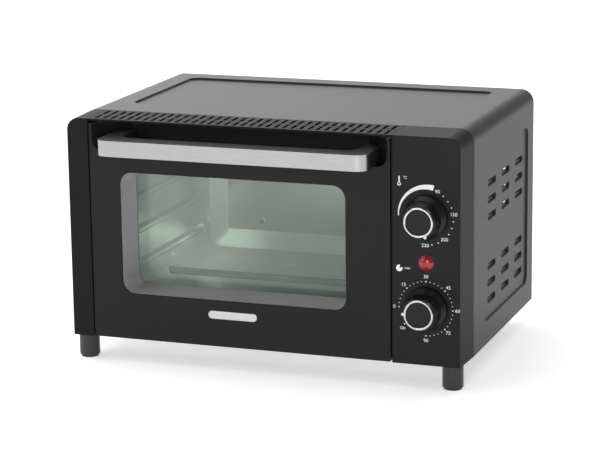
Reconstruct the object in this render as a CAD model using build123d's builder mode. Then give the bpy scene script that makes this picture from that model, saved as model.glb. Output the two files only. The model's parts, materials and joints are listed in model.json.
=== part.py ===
"""Toaster oven: a small bench oven with a drop-down door, two knobs and a folded steel housing.

Millimetres, +X to the right, the front faces -Y, +Z up. The origin is on the table, at the
middle of the oven's outline. A "depth" is a distance behind the door's front face, and a
"height" is a distance above the underside of the body, which stands on its feet.
"""
import os
from math import atan, cos, degrees, radians, sin

from build123d import *

os.makedirs("parts", exist_ok=True)

# ---------------------------------------------------------------- driving sizes
# Body
body_width = 365.0
body_height = 202.0
body_depth = 246.0          # front face to the rear edge of the housing
foot_height = 21.0
corner_radius = 12.0        # upper corners of the body, seen from the front
sheet = 1.0                 # steel sheet of the housing, the base and the back
fit_gap = 0.3               # between a piece and the one that it slips into

# Front frame
bezel_depth = 40.0
bezel_flare = 1.0           # the front is this much smaller all round than the back
frame_wall = 2.0
bay_left = -161.8           # the door bay, between the left pillar and the control box
bay_right = 120.9
rear_plate_front = 42.0     # depth of the frame's rear plate, behind the door
rear_plate = 2.0
panel_thickness = 2.0
panel_rim = 0.4

# Cavity
cavity_left = -145.0
cavity_right = 103.0
cavity_floor_height = 19.5
cavity_roof_height = 182.0
cavity_back_depth = 226.0
liner = 0.8                 # sheet of the cavity
flange = 6.0                # the front plate's edge outside the cavity walls
mouth_inset = 3.0           # the mouth is this much smaller than the cavity
rib_heights = (54.0, 86.0, 117.0)
rib_width = 9.0
rib_depth = 3.0
rib_margin = 8.0

# Door
door_gap = 1.2
door_depth = 34.0
door_wall = 2.5
door_bottom = 0.5
door_top = 197.0
back_plate = 1.0
window_left = -132.2
window_right = 79.2
window_bottom = 43.3
window_top = 154.2
window_radius = 12.0
reveal_inset = 3.5          # the reveal narrows by this much on its way to the glass
reveal_wall = 1.2
glass_thickness = 3.0
seal_thickness = 0.8
glass_margin = 7.0          # glass hidden behind the reveal's flange
pocket_bottom = 172.8
pocket_depth = 30.0
pocket_margin = 2.8
pocket_radius = 9.5
pocket_slant = 26.0         # the pocket is this much narrower on each side at its back
pocket_wall = 1.5
hinge_depth = 14.0
hinge_height = 11.0
pin_radius = 3.0
running = 0.06              # radial clearance of a pin that turns

# Handle
handle_reach = 28.0         # in front of the door's face
handle_half_width = 125.0
handle_middle = -18.0
handle_bottom = 173.2
handle_height = 14.6
handle_thickness = 18.5
handle_arm = 16.0
handle_outer_radius = 11.0
handle_inner_radius = 13.0
trim_thickness = 1.0
trim_wrap = 2.0             # the trim runs on past its corners by this much

# Controls
dial_x = 151.2
temperature_height = 131.8
timer_height = 51.4
lamp_height = 91.6
lamp_radius = 7.0
knob_radius = 19.2
knob_gap = 1.2
knob_length = 21.0
grip_radius = 14.6
grip_half_width = 12.6
ring_radius = 13.0
ring_width = 1.8
shaft_radius = 3.0
shaft_flat = 2.1
bushing_radius = 4.8
dial_screw_radius = 14.0    # from the dial's middle to its fixing screws
temperature_pointer = 154.0  # clockwise from the top
timer_pointer = 270.0

# Vents
grille_slots = 36
grille_pitch = 7.7
grille_slot = (15.5, 3.0)
louvre_length = 27.0
louvre_height = 6.4
louvre_press = 2.0
louvre_draft = 35.0
louvre_slit = (21.0, 1.8)
louvre_slit_rise = 0.8
louvre_pitch_depth = 47.0
louvre_pitch_height = 15.3

# Heating elements, inlet, feet
element_radius = 3.3
element_depth = 132.5
lower_element_height = 32.0
upper_element_height = 169.0
gland_x = 146.0
gland_height = 30.0
gland_reach = 6.0
gland_bore = 3.6
foot_radius = 9.2
pad_thickness = 1.5

# ---------------------------------------------------------------- places worked out
overall_depth = handle_reach + body_depth + gland_reach
front_y = handle_reach - overall_depth / 2
half_width = body_width / 2
draft = degrees(atan(bezel_flare / bezel_depth))
bay_middle = (bay_left + bay_right) / 2
door_left = bay_left + door_gap
door_right = bay_right - door_gap
rear_plate_back = rear_plate_front + rear_plate
shield_x = bay_right - 5.0  # heat shield beside the control compartment
panel_left = bay_right + 0.8
reveal_front = door_wall
reveal_back = door_depth - back_plate - glass_thickness - seal_thickness
reveal_draft = degrees(atan(reveal_inset / (reveal_back - reveal_front)))


def y_at(depth):
    """Y of a depth behind the door's front face."""
    return front_y + depth


def z_at(height):
    """Z of a height above the underside of the body."""
    return foot_height + height


def facing_front(depth):
    """Plane at a depth, seen from the front: local x is X, local y is Z, extrudes forwards."""
    return Plane.XZ.offset(-y_at(depth))


def level(height):
    """Horizontal plane at a height above the underside of the body."""
    return Plane.XY.offset(z_at(height))


def rectangle_between(left, right, bottom, top, radius=0.0, mode=Mode.ADD):
    """Rectangle by its four sides, in the local axes of the sketch."""
    with Locations(((left + right) / 2, (bottom + top) / 2)):
        if radius > 0:
            RectangleRounded(right - left, top - bottom, radius, mode=mode)
        else:
            Rectangle(right - left, top - bottom, mode=mode)


def block_between(x, depth, height, mode=Mode.ADD):
    """Box by its limits in X, depth and height."""
    middle = ((x[0] + x[1]) / 2, y_at((depth[0] + depth[1]) / 2), z_at((height[0] + height[1]) / 2))
    with Locations(middle):
        Box(x[1] - x[0], depth[1] - depth[0], height[1] - height[0], mode=mode)


def body_outline(inset, mode=Mode.ADD):
    """Outline of the body from the front: square below, rounded above."""
    half = half_width - inset
    bottom = foot_height + inset
    top = z_at(body_height) - inset
    with BuildSketch(mode=Mode.PRIVATE) as outline:
        rectangle_between(-half, half, bottom, top)
        fillet(outline.vertices().group_by(Axis.Y)[-1], corner_radius - inset)
    add(outline.sketch, mode=mode)


def rod_along_y(x, height, radius, front, back, mode=Mode.ADD):
    """Round bar along Y between two depths."""
    middle = (x, y_at((front + back) / 2), z_at(height))
    with Locations(Location(middle, (90, 0, 0))):
        Cylinder(radius, back - front, mode=mode)


def rod_along_x(left, right, depth, height, radius, mode=Mode.ADD):
    """Round bar along X."""
    with Locations(Location(((left + right) / 2, y_at(depth), z_at(height)), (0, 90, 0))):
        Cylinder(radius, right - left, mode=mode)


def rod_along_z(x, depth, radius, bottom, top, mode=Mode.ADD):
    """Round bar along Z between two heights."""
    with Locations((x, y_at(depth), z_at((bottom + top) / 2))):
        Cylinder(radius, top - bottom, mode=mode)


def save(piece, label):
    """Name a finished piece and write its file."""
    piece.part.label = label
    export_step(piece.part, f"parts/{label}.step")


# ---------------------------------------------------------------- housing
small_screw = 1.4           # shank radius of the small screws
small_head = 2.6
small_head_height = 1.6
screw_hole_gap = 0.1
recess_step = 1.6
top_recess = (-153.0, 150.0, 78.0, 225.0)       # X limits, then depth limits
side_recess = (75.0, 226.5, 21.0, 171.0)        # depth limits, then height limits
recess_radius = 9.0
recess_draft = 40.0
rear_lip = 10.0
bottom_lip = 12.0
louvre_rows = (128.4, 52.8)                     # middle heights of the two groups
louvre_depth_middle = 151.2


def base_screw_places():
    """X and depth of the screws under the side lips."""
    x = half_width - sheet - bottom_lip / 2
    return [(side * x, depth) for side in (-1, 1) for depth in (70.0, 150.0, 225.0)]


def back_screw_places():
    """X and height of the screws through the housing's rear lip."""
    side_x = half_width - sheet - rear_lip / 2
    top = body_height - sheet - rear_lip / 2
    sides = [(side * side_x, height) for side in (-1, 1) for height in (30.0, 105.0, 175.0)]
    return sides + [(side * 90.0, top) for side in (-1, 1)]


def recess_plan(limits, margin):
    """Rounded outline of a recessed panel."""
    a, b, c, d = limits
    rectangle_between(a - margin, b + margin, c - margin, d + margin, recess_radius + margin)


def louvre_places():
    """Depth and height of each louvre of a side."""
    places = []
    for middle in louvre_rows:
        for column in (-1, 0, 1):
            for row in (-1, 0, 1):
                depth = louvre_depth_middle + column * louvre_pitch_depth
                places.append((depth, middle + row * louvre_pitch_height))
    return places


def louvre_slots(length, height, rise=0.0):
    """Rounded slots at every louvre of a side, in a sketch whose axes are depth and height."""
    for depth, middle in louvre_places():
        with Locations((depth, middle + rise)):
            SlotOverall(length, height)


with BuildPart() as housing:
    with BuildSketch(facing_front(body_depth)):
        body_outline(0)
        body_outline(sheet, mode=Mode.SUBTRACT)
        rectangle_between(
            sheet - half_width, half_width - sheet, foot_height, foot_height + corner_radius,
            mode=Mode.SUBTRACT)
    extrude(amount=body_depth - bezel_depth)
    # Lip round the back, which the back panel is screwed to
    with BuildSketch(facing_front(body_depth)):
        body_outline(sheet)
        body_outline(sheet + rear_lip, mode=Mode.SUBTRACT)
        rectangle_between(
            sheet + rear_lip - half_width, half_width - sheet - rear_lip,
            foot_height, z_at(sheet + rear_lip + 1), mode=Mode.SUBTRACT)
    extrude(amount=sheet)
    # Lips under the sides, which the base is screwed to
    for side in (-1, 1):
        edge = side * (half_width - sheet)
        block_between(
            sorted((edge, edge - side * bottom_lip)),
            (rear_plate_back + 1, body_depth - 2 * sheet), (0, sheet))
    for x, depth in base_screw_places():
        rod_along_z(x, depth, small_screw + screw_hole_gap, -1, sheet + 1, mode=Mode.SUBTRACT)
    for x, height in back_screw_places():
        rod_along_y(
            x, height, small_screw + screw_hole_gap, body_depth - sheet - 1, body_depth + 1,
            mode=Mode.SUBTRACT)
    # Recessed panels: each is a tray inside the sheet, cut out from outside
    top_z = z_at(body_height)
    with BuildSketch(Plane.XY.offset(top_z - sheet)):
        with Locations((0, front_y)):
            recess_plan(top_recess, sheet)
    extrude(amount=-recess_step, taper=recess_draft)
    with BuildSketch(Plane.XY.offset(top_z)):
        with Locations((0, front_y)):
            recess_plan(top_recess, 0)
    extrude(amount=-recess_step, taper=recess_draft, mode=Mode.SUBTRACT)
    for side in (-1, 1):
        wall = Plane(origin=(0, front_y, foot_height), x_dir=(0, 1, 0), z_dir=(1, 0, 0))
        with BuildSketch(wall.offset(side * (half_width - sheet))):
            recess_plan(side_recess, sheet)
        extrude(amount=-side * recess_step, taper=recess_draft)
        with BuildSketch(wall.offset(side * half_width)):
            recess_plan(side_recess, 0)
        extrude(amount=-side * recess_step, taper=recess_draft, mode=Mode.SUBTRACT)
        # Louvres pressed inwards, each with its slit along the top
        face = half_width - recess_step
        with BuildSketch(wall.offset(side * (face - sheet))):
            louvre_slots(louvre_length + sheet, louvre_height + sheet)
        extrude(amount=-side * louvre_press, taper=louvre_draft)
        with BuildSketch(wall.offset(side * face)):
            louvre_slots(louvre_length, louvre_height)
        extrude(amount=-side * louvre_press, taper=louvre_draft, mode=Mode.SUBTRACT)
        with BuildSketch(wall.offset(side * face)):
            louvre_slots(louvre_slit[0], louvre_slit[1], louvre_slit_rise)
        extrude(amount=-side * (louvre_press + 2 * sheet), mode=Mode.SUBTRACT)
save(housing, "housing")

# ---------------------------------------------------------------- front frame
frame_front_wall = 4.0
ledge = 7.0                 # width of the ledge behind the control panel
grille_seat = 11.0          # height of the bar that the grille is screwed to
peg_radius = 1.5
mouth_left = cavity_left + mouth_inset
mouth_right = cavity_right - mouth_inset
mouth_bottom = cavity_floor_height + mouth_inset
mouth_top = cavity_roof_height - mouth_inset
spigot = sheet + fit_gap    # inset of what slips into the housing
spigot_wall = 3.0
grille_screw_height = body_height - spigot - grille_seat / 2
foot_x = 172.0
front_foot_depth = 12.0
rear_foot_x = 138.0
rear_foot_depth = 222.0
foot_boss = 5.0
foot_screw_radius = 1.7
front_feet = [(side * foot_x, front_foot_depth) for side in (-1, 1)]
rear_feet = [(side * rear_foot_x, rear_foot_depth) for side in (-1, 1)]
hinge_hole = pin_radius + 1.2
hinge_sides = ((bay_left, -1), (bay_right, 1))
hinge_screw_offset = 5.8


def frame_screw_places():
    """X and height of the screws that hold the cavity to the frame, outside its walls."""
    edge = liner + flange / 2 + 0.2
    return [(x, height) for x in (cavity_left - edge, cavity_right + edge)
            for height in (cavity_floor_height + 20, cavity_roof_height - 20)]


def panel_outline(gap, mode=Mode.ADD):
    """Outline of the control panel, taken in by a gap all round."""
    with BuildSketch(mode=Mode.PRIVATE) as outline:
        body_outline(bezel_flare + panel_rim + gap)
        rectangle_between(
            panel_left + gap, half_width, foot_height, z_at(body_height), mode=Mode.INTERSECT)
    add(outline.sketch, mode=mode)


def panel_pegs():
    """Places of the pegs that hold the control panel."""
    left = panel_left + ledge / 2 + 0.5
    right = half_width - bezel_flare - panel_rim - ledge / 2 - 0.5
    low = foot_boss + peg_radius + 3
    high = body_height - corner_radius
    return [(x, height) for x in (left, right) for height in (low, high)]


def grille_screws_x():
    """X of the screws that hold the vent grille."""
    span = (bay_right - bay_left) / 2 - 20
    return [bay_middle + step * span for step in (-1, 0, 1)]


with BuildPart() as frame_core:
    with BuildSketch(facing_front(bezel_depth)):
        body_outline(frame_wall)
    extrude(amount=bezel_depth - frame_front_wall, taper=draft)
    block_between(
        (bay_left - frame_wall, bay_right + frame_wall), (-1, bezel_depth + 1), (-1, body_height + 1),
        mode=Mode.SUBTRACT)

with BuildPart() as front_frame:
    with BuildSketch(facing_front(bezel_depth)):
        body_outline(0)
    extrude(amount=bezel_depth, taper=draft)
    add(frame_core.part, mode=Mode.SUBTRACT)
    # Spigot and rear plate, inside the housing
    with BuildSketch(facing_front(rear_plate_back)):
        body_outline(spigot)
        body_outline(spigot + spigot_wall, mode=Mode.SUBTRACT)
    extrude(amount=rear_plate_back - bezel_depth + frame_wall)
    with BuildSketch(facing_front(rear_plate_back)):
        body_outline(spigot)
        rectangle_between(
            mouth_left, mouth_right, z_at(mouth_bottom), z_at(mouth_top), mode=Mode.SUBTRACT)
        rectangle_between(
            bay_right + 2 * frame_wall, half_width - spigot - spigot_wall, z_at(spigot + spigot_wall),
            z_at(body_height - corner_radius), mode=Mode.SUBTRACT)
        rectangle_between(
            spigot + spigot_wall - half_width, bay_left - frame_wall, z_at(spigot + spigot_wall),
            z_at(body_height - corner_radius), mode=Mode.SUBTRACT)
    extrude(amount=rear_plate)
    # Door bay, then the bar behind its upper edge
    block_between((bay_left, bay_right), (-1, bezel_depth), (-1, body_height + 1), mode=Mode.SUBTRACT)
    block_between(
        (bay_left - frame_wall, bay_right + frame_wall), (bezel_depth, rear_plate_front),
        (body_height - spigot - grille_seat, body_height - spigot))
    # Seat, pegs' holes and access behind the control panel
    with BuildSketch(facing_front(panel_thickness)):
        panel_outline(0)
    extrude(amount=panel_thickness + 1, mode=Mode.SUBTRACT)
    with BuildSketch(facing_front(frame_front_wall + 1)):
        panel_outline(ledge)
    extrude(amount=frame_front_wall + 2, mode=Mode.SUBTRACT)
    for x, height in panel_pegs():
        rod_along_y(x, height, peg_radius + screw_hole_gap, 0, frame_front_wall + 1, mode=Mode.SUBTRACT)
    # Bosses for the front feet
    for x, depth in front_feet:
        rod_along_z(x, depth, foot_radius, 0, foot_boss)
        rod_along_z(
            x, depth, foot_screw_radius + screw_hole_gap, -1, foot_boss - 1, mode=Mode.SUBTRACT)
    # Holes for the hinge pins, and for the screws of their brackets and of the grille
    for edge, side in hinge_sides:
        span = sorted((edge - side, edge + side * (frame_wall + 1)))
        rod_along_x(*span, hinge_depth, hinge_height, hinge_hole, mode=Mode.SUBTRACT)
        for step in (-1, 1):
            rod_along_x(
                *sorted((edge + side * 0.6, edge + side * (frame_wall + 1))),
                hinge_depth + step * hinge_screw_offset, hinge_height,
                small_screw + screw_hole_gap, mode=Mode.SUBTRACT)
    for x in grille_screws_x():
        rod_along_y(
            x, grille_screw_height, small_screw + screw_hole_gap, bezel_depth - 1,
            rear_plate_back + 1, mode=Mode.SUBTRACT)
    for x, height in frame_screw_places():
        rod_along_y(
            x, height, small_screw + screw_hole_gap, rear_plate_front - 1, rear_plate_back + 1,
            mode=Mode.SUBTRACT)
save(front_frame, "front_frame")

# ---------------------------------------------------------------- vent grille over the door
grille_sheet = 1.8
grille_front = 0.6
grille_flange = 1.2
grille_gap = 0.4
grille_slot_rows = (11.0, 28.5)     # middle depths of the two rows


def bezel_top(depth):
    """Height of the bezel's top at a depth."""
    return body_height - bezel_flare * (1 - depth / bezel_depth)


with BuildPart() as vent_grille:
    flange_bottom = body_height - spigot - grille_seat + 1
    with BuildSketch(Plane.YZ.offset(bay_left + grille_gap)):
        with BuildLine():
            Polyline(
                (y_at(grille_front), z_at(bezel_top(grille_front))),
                (y_at(bezel_depth), z_at(body_height)),
                (y_at(bezel_depth), z_at(flange_bottom)),
                (y_at(bezel_depth - grille_flange), z_at(flange_bottom)),
                (y_at(bezel_depth - grille_flange), z_at(body_height - grille_sheet)),
                (y_at(grille_front), z_at(bezel_top(grille_front) - grille_sheet)),
                close=True)
        make_face()
    extrude(amount=bay_right - bay_left - 2 * grille_gap)
    for depth in grille_slot_rows:
        with BuildSketch(level(body_height + 1)):
            with Locations((bay_middle, y_at(depth))):
                with GridLocations(grille_pitch, 1, grille_slots, 1):
                    SlotOverall(grille_slot[0], grille_slot[1], rotation=90)
        extrude(amount=-5, mode=Mode.SUBTRACT)
    for x in grille_screws_x():
        rod_along_y(
            x, grille_screw_height, small_screw + screw_hole_gap, bezel_depth - grille_flange - 1,
            bezel_depth + 1, mode=Mode.SUBTRACT)
save(vent_grille, "vent_grille")

# ---------------------------------------------------------------- control panel
panel_gap = 0.15
dials = {"temperature": temperature_height, "timer": timer_height}
lamp_stem = lamp_radius - 1.2
dial_screw = 1.6
dial_screw_head = 3.0
dial_screw_sink = 1.2


def dial_screw_places(height):
    """X and height of the two screws of a dial, above and below its shaft."""
    return [(dial_x, height + side * dial_screw_radius) for side in (-1, 1)]


with BuildPart() as control_panel:
    with BuildSketch(facing_front(panel_thickness)):
        panel_outline(panel_gap)
    extrude(amount=panel_thickness)
    for height in dials.values():
        rod_along_y(dial_x, height, bushing_radius + screw_hole_gap, -1, 5, mode=Mode.SUBTRACT)
        for x, screw_height in dial_screw_places(height):
            rod_along_y(x, screw_height, dial_screw + screw_hole_gap, -1, 5, mode=Mode.SUBTRACT)
            rod_along_y(
                x, screw_height, dial_screw_head + screw_hole_gap, -1, dial_screw_sink,
                mode=Mode.SUBTRACT)
    rod_along_y(dial_x, lamp_height, lamp_stem + screw_hole_gap, -1, 5, mode=Mode.SUBTRACT)
    for x, height in panel_pegs():
        rod_along_y(x, height, peg_radius, panel_thickness, frame_front_wall)
        rod_along_y(x, height, peg_radius + 1, frame_front_wall, frame_front_wall + 1)
save(control_panel, "control_panel")

# ---------------------------------------------------------------- thermostat, timer and lamp
thermostat_size = (30.0, 22.0, 38.0)
timer_radius = 21.0
timer_depth = 24.0
bell_radius = 19.0
shaft_inner_end = 12.0      # depth of the shafts' inner ends
knob_bore_depth = 12.0
bushing_front = -0.6
shaft_front = -knob_gap - knob_bore_depth + 1


def control_bushing(height):
    """Threaded neck of a control, through the panel, with the shaft's running bore."""
    rod_along_y(dial_x, height, bushing_radius, bushing_front, panel_thickness)
    rod_along_y(
        dial_x, height, shaft_radius + running, bushing_front - 1, shaft_inner_end + 0.5,
        mode=Mode.SUBTRACT)
    for x, screw_height in dial_screw_places(height):
        rod_along_y(
            x, screw_height, dial_screw + screw_hole_gap, panel_thickness - 1, 9.0,
            mode=Mode.SUBTRACT)


def control_shaft(height, pointer):
    """Shaft of a control, with the flat that its knob grips."""
    angle = radians(pointer)
    flat_plane = Plane(
        origin=(dial_x, y_at(shaft_front), z_at(height)), x_dir=(sin(angle), 0, cos(angle)),
        z_dir=(0, 1, 0))
    with BuildPart() as shaft:
        rod_along_y(dial_x, height, shaft_radius, shaft_front, shaft_inner_end)
        with BuildSketch(flat_plane):
            with Locations((shaft_flat + 2, 0)):
                Rectangle(4, 3 * shaft_radius)
        extrude(amount=knob_bore_depth - 2, mode=Mode.SUBTRACT)
    return shaft


with BuildPart() as thermostat_body:
    size_x, size_y, size_z = thermostat_size
    block_between(
        (dial_x - size_x / 2, dial_x + size_x / 2), (panel_thickness, panel_thickness + size_y),
        (temperature_height - size_z / 2, temperature_height + size_z / 2))
    fillet(thermostat_body.edges().filter_by(Axis.Y), 2)
    # Two blade terminals at the back
    for side in (-1, 1):
        block_between(
            (dial_x + side * 8 - 3, dial_x + side * 8 + 3),
            (panel_thickness + size_y, panel_thickness + size_y + 9),
            (temperature_height - 0.4, temperature_height + 0.4))
    control_bushing(temperature_height)
save(thermostat_body, "thermostat_body")
save(control_shaft(temperature_height, temperature_pointer), "thermostat_shaft")

bell_depth = 6.0
bell_gap = 3.0
bell_wall = 1.2
timer_back = panel_thickness + timer_depth
bell_back = timer_back + bell_gap + bell_depth

with BuildPart() as timer_body:
    rod_along_y(dial_x, timer_height, timer_radius, panel_thickness, timer_back)
    fillet(timer_body.edges().filter_by(GeomType.CIRCLE).sort_by(Axis.Y)[-1], 2)
    rod_along_y(dial_x, timer_height, 3, timer_back, bell_back - bell_wall)
    control_bushing(timer_height)
save(timer_body, "timer_body")
save(control_shaft(timer_height, timer_pointer), "timer_shaft")

with BuildPart() as timer_bell:
    rod_along_y(dial_x, timer_height, bell_radius, timer_back + bell_gap, bell_back)
    fillet(timer_bell.edges().filter_by(GeomType.CIRCLE).sort_by(Axis.Y)[-1], 3)
    rod_along_y(
        dial_x, timer_height, bell_radius - bell_wall, timer_back + bell_gap - 1, bell_back - bell_wall,
        mode=Mode.SUBTRACT)
save(timer_bell, "timer_bell")

lamp_dome = 3.5
lens_stem = 6.0
lamp_body_length = 20.0

with BuildPart() as indicator_lens:
    dome_sphere = (lamp_radius ** 2 + lamp_dome ** 2) / (2 * lamp_dome)
    with Locations(Location((dial_x, y_at(0), z_at(lamp_height)), (90, 0, 0))):
        with Locations((0, 0, lamp_dome - dome_sphere)):
            Sphere(dome_sphere)
        Cylinder(
            2 * dome_sphere, 4 * dome_sphere, align=(Align.CENTER, Align.CENTER, Align.MAX),
            mode=Mode.SUBTRACT)
    rod_along_y(dial_x, lamp_height, lamp_stem, 0, lens_stem)
save(indicator_lens, "indicator_lens")

with BuildPart() as indicator_lamp:
    rod_along_y(dial_x, lamp_height, lamp_stem - 0.8, lens_stem, lens_stem + lamp_body_length)
    fillet(indicator_lamp.edges().filter_by(GeomType.CIRCLE).sort_by(Axis.Y)[-1], 1.5)
    for side in (-1, 1):
        rod_along_y(
            dial_x + side * 2, lamp_height, 0.5, lens_stem + lamp_body_length,
            lens_stem + lamp_body_length + 6)
save(indicator_lamp, "indicator_lamp")

with BuildPart() as dial_screws:
    for height in dials.values():
        for x, screw_height in dial_screw_places(height):
            rod_along_y(x, screw_height, dial_screw_head, 0.1, dial_screw_sink)
            rod_along_y(x, screw_height, dial_screw, dial_screw_sink, 8.5)
save(dial_screws, "dial_screws")

# ---------------------------------------------------------------- knobs
knob_face = knob_length - 1.0
skirt_height = 3.0
skirt_top = 7.0
ring_back = 1.0             # depth of the ring's seat in the knob's face
ring_front = 2.0            # the ring stands this far out of the face
cap_thickness = 0.8
bump_radius = 1.3
bump_place = ring_radius + 0.7
seat_gap = 0.05


def knob_plane(height, pointer):
    """Plane at the knob's back: local x points to the pointer, local z to the front."""
    angle = radians(pointer)
    return Plane(
        origin=(dial_x, y_at(-knob_gap), z_at(height)), x_dir=(sin(angle), 0, cos(angle)),
        z_dir=(0, -1, 0))


def knob_body(base):
    """Skirted knob with two flats, a D-shaped bore and seats for its ring and cap."""
    half_section = Plane(origin=base.origin, x_dir=base.x_dir, z_dir=-base.y_dir)
    with BuildPart() as knob:
        with BuildSketch(half_section):
            with BuildLine():
                Polyline(
                    (0, 0), (knob_radius, 0), (knob_radius, skirt_height),
                    (grip_radius + 1.4, skirt_top), (grip_radius, knob_face), (0, knob_face),
                    close=True)
            make_face()
        revolve(axis=Axis(base.origin, base.z_dir))
        fillet(knob.edges().filter_by(GeomType.CIRCLE).group_by(SortBy.RADIUS)[-1], 0.8)
        with BuildSketch(base.offset(skirt_top)):
            for side in (-1, 1):
                with Locations((0, side * (grip_half_width + 1.0 + 5))):
                    Rectangle(60, 10)
        extrude(amount=knob_length, mode=Mode.SUBTRACT)
        # Seat of the ring and its pointer, and the bore
        with BuildSketch(base.offset(knob_face)):
            Circle(ring_radius + seat_gap)
            with Locations((bump_place, 0)):
                Circle(bump_radius + seat_gap)
        extrude(amount=-ring_back, mode=Mode.SUBTRACT)
        with BuildSketch(base):
            Circle(shaft_radius + seat_gap)
            with Locations((shaft_flat + seat_gap + 5, 0)):
                Rectangle(10, 10, mode=Mode.SUBTRACT)
        extrude(amount=knob_bore_depth, mode=Mode.SUBTRACT)
        with BuildSketch(base):
            Circle(bushing_radius + 1)
        extrude(amount=2, mode=Mode.SUBTRACT)
    return knob


def knob_ring(base):
    """Bright ring in the knob's face, with the bump that points at the dial."""
    with BuildPart() as ring:
        with BuildSketch(base.offset(knob_face - ring_back)):
            Circle(ring_radius)
            Circle(ring_radius - ring_width, mode=Mode.SUBTRACT)
        extrude(amount=ring_back + ring_front)
        chamfer(ring.faces().sort_by(Axis.Y)[0].edges(), 0.4)
        with BuildSketch(base.offset(knob_face - ring_back)):
            with Locations((bump_place, 0)):
                Circle(bump_radius)
            Circle(ring_radius - ring_width / 2, mode=Mode.SUBTRACT)
        extrude(amount=ring_back + ring_front - 0.4)
    return ring


def knob_cap(base):
    """Dark disc inside the ring."""
    with BuildPart() as cap:
        with BuildSketch(base.offset(knob_face - ring_back)):
            Circle(ring_radius - ring_width - seat_gap)
        extrude(amount=ring_back + cap_thickness)
        fillet(cap.faces().sort_by(Axis.Y)[0].edges(), 0.3)
    return cap


pointers = {"temperature": temperature_pointer, "timer": timer_pointer}
for dial, height in dials.items():
    knob_base = knob_plane(height, pointers[dial])
    save(knob_body(knob_base), f"{dial}_knob")
    save(knob_ring(knob_base), f"{dial}_knob_ring")
    save(knob_cap(knob_base), f"{dial}_knob_cap")

# ---------------------------------------------------------------- cavity
bushing_outer = 6.0
bushing_flange = 9.0
bushing_flange_thickness = 2.0
bushing_reach = 3.0
element_heights = (lower_element_height, upper_element_height)
wall_front = rear_plate_back + liner
dish_depth = 5.0
dish_band = 17.5
dish_margin_side = 6.5
dish_margin_bottom = 15.0
dish_margin_top = 15.0
dish_radius = 13.0
standoff_height = 61.5
standoff_x = [(cavity_left + cavity_right) / 2 + side * 64.5 for side in (-1, 1)]
standoff_radius = 5.0
standoff_screw = 1.5
back_panel_depth = body_depth - sheet

with BuildPart() as cavity_front:
    with BuildSketch(facing_front(wall_front)):
        edge = liner + flange
        rectangle_between(
            cavity_left - edge, cavity_right + edge, z_at(cavity_floor_height - edge),
            z_at(cavity_roof_height + edge))
        rectangle_between(
            mouth_left, mouth_right, z_at(mouth_bottom), z_at(mouth_top), mode=Mode.SUBTRACT)
    extrude(amount=liner)
    for x, height in frame_screw_places():
        rod_along_y(
            x, height, small_screw + screw_hole_gap, rear_plate_front, wall_front + 1,
            mode=Mode.SUBTRACT)
save(cavity_front, "cavity_front")

with BuildPart() as frame_screws:
    for x, height in frame_screw_places():
        rod_along_y(x, height, small_head, wall_front, wall_front + small_head_height)
        rod_along_y(x, height, small_screw, rear_plate_front, wall_front)
save(frame_screws, "frame_screws")

with BuildPart() as grille_screws:
    for x in grille_screws_x():
        rod_along_y(
            x, grille_screw_height, small_head, rear_plate_back, rear_plate_back + small_head_height)
        rod_along_y(
            x, grille_screw_height, small_screw, bezel_depth - grille_flange, rear_plate_back)
save(grille_screws, "grille_screws")


def cavity_side(inner_x, outwards):
    """Side wall with three pressed rack guides and the holes of the heating elements."""
    with BuildPart() as wall:
        block_between(
            sorted((inner_x, inner_x + outwards * liner)), (wall_front, cavity_back_depth),
            (cavity_floor_height, cavity_roof_height))
        for height in rib_heights:
            for shift, mode in ((0, Mode.ADD), (liner, Mode.SUBTRACT)):
                base_x = inner_x + outwards * shift
                tip_x = base_x - outwards * rib_depth
                base_half = rib_width / 2 - 0.4 * shift
                tip_half = base_half - rib_depth
                margin = rib_margin + shift
                with BuildSketch(facing_front(cavity_back_depth - margin)):
                    with BuildLine():
                        Polyline(
                            (base_x, z_at(height - base_half)), (tip_x, z_at(height - tip_half)),
                            (tip_x, z_at(height + tip_half)), (base_x, z_at(height + base_half)),
                            close=True)
                    make_face()
                extrude(amount=cavity_back_depth - wall_front - 2 * margin, mode=mode)
        for height in element_heights:
            rod_along_x(
                inner_x - 2, inner_x + 2, element_depth, height, bushing_outer + seat_gap,
                mode=Mode.SUBTRACT)
    return wall


save(cavity_side(cavity_left, -1), "cavity_left_wall")
save(cavity_side(cavity_right, 1), "cavity_right_wall")

with BuildPart() as cavity_roof:
    block_between(
        (cavity_left - liner, cavity_right + liner), (wall_front, cavity_back_depth),
        (cavity_roof_height, cavity_roof_height + liner))
save(cavity_roof, "cavity_roof")

with BuildPart() as cavity_floor:
    block_between(
        (cavity_left - liner, cavity_right + liner), (wall_front, cavity_back_depth),
        (cavity_floor_height - liner, cavity_floor_height))
save(cavity_floor, "cavity_floor")


def dish_section(depth, inset, radius):
    """One outline of the dished panel of the cavity's back."""
    with BuildSketch(facing_front(depth)) as section:
        rectangle_between(
            cavity_left + dish_margin_side + inset, cavity_right - dish_margin_side - inset,
            z_at(cavity_floor_height + dish_margin_bottom + inset),
            z_at(cavity_roof_height - dish_margin_top - inset), radius)
    return section.sketch.face()


with BuildPart() as cavity_back:
    block_between(
        (cavity_left - liner, cavity_right + liner), (cavity_back_depth, cavity_back_depth + liner),
        (cavity_floor_height - liner, cavity_roof_height + liner))
    for front, mode in ((cavity_back_depth + liner, Mode.ADD), (cavity_back_depth, Mode.SUBTRACT)):
        outer = dish_section(front, 0, dish_radius)
        inner = dish_section(front + dish_depth, dish_band, dish_radius / 4)
        loft([outer, inner], mode=mode)
    for x in standoff_x:
        rod_along_y(
            x, standoff_height, standoff_screw + screw_hole_gap, cavity_back_depth,
            cavity_back_depth + 10, mode=Mode.SUBTRACT)
save(cavity_back, "cavity_back")

dish_back = cavity_back_depth + dish_depth

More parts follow.
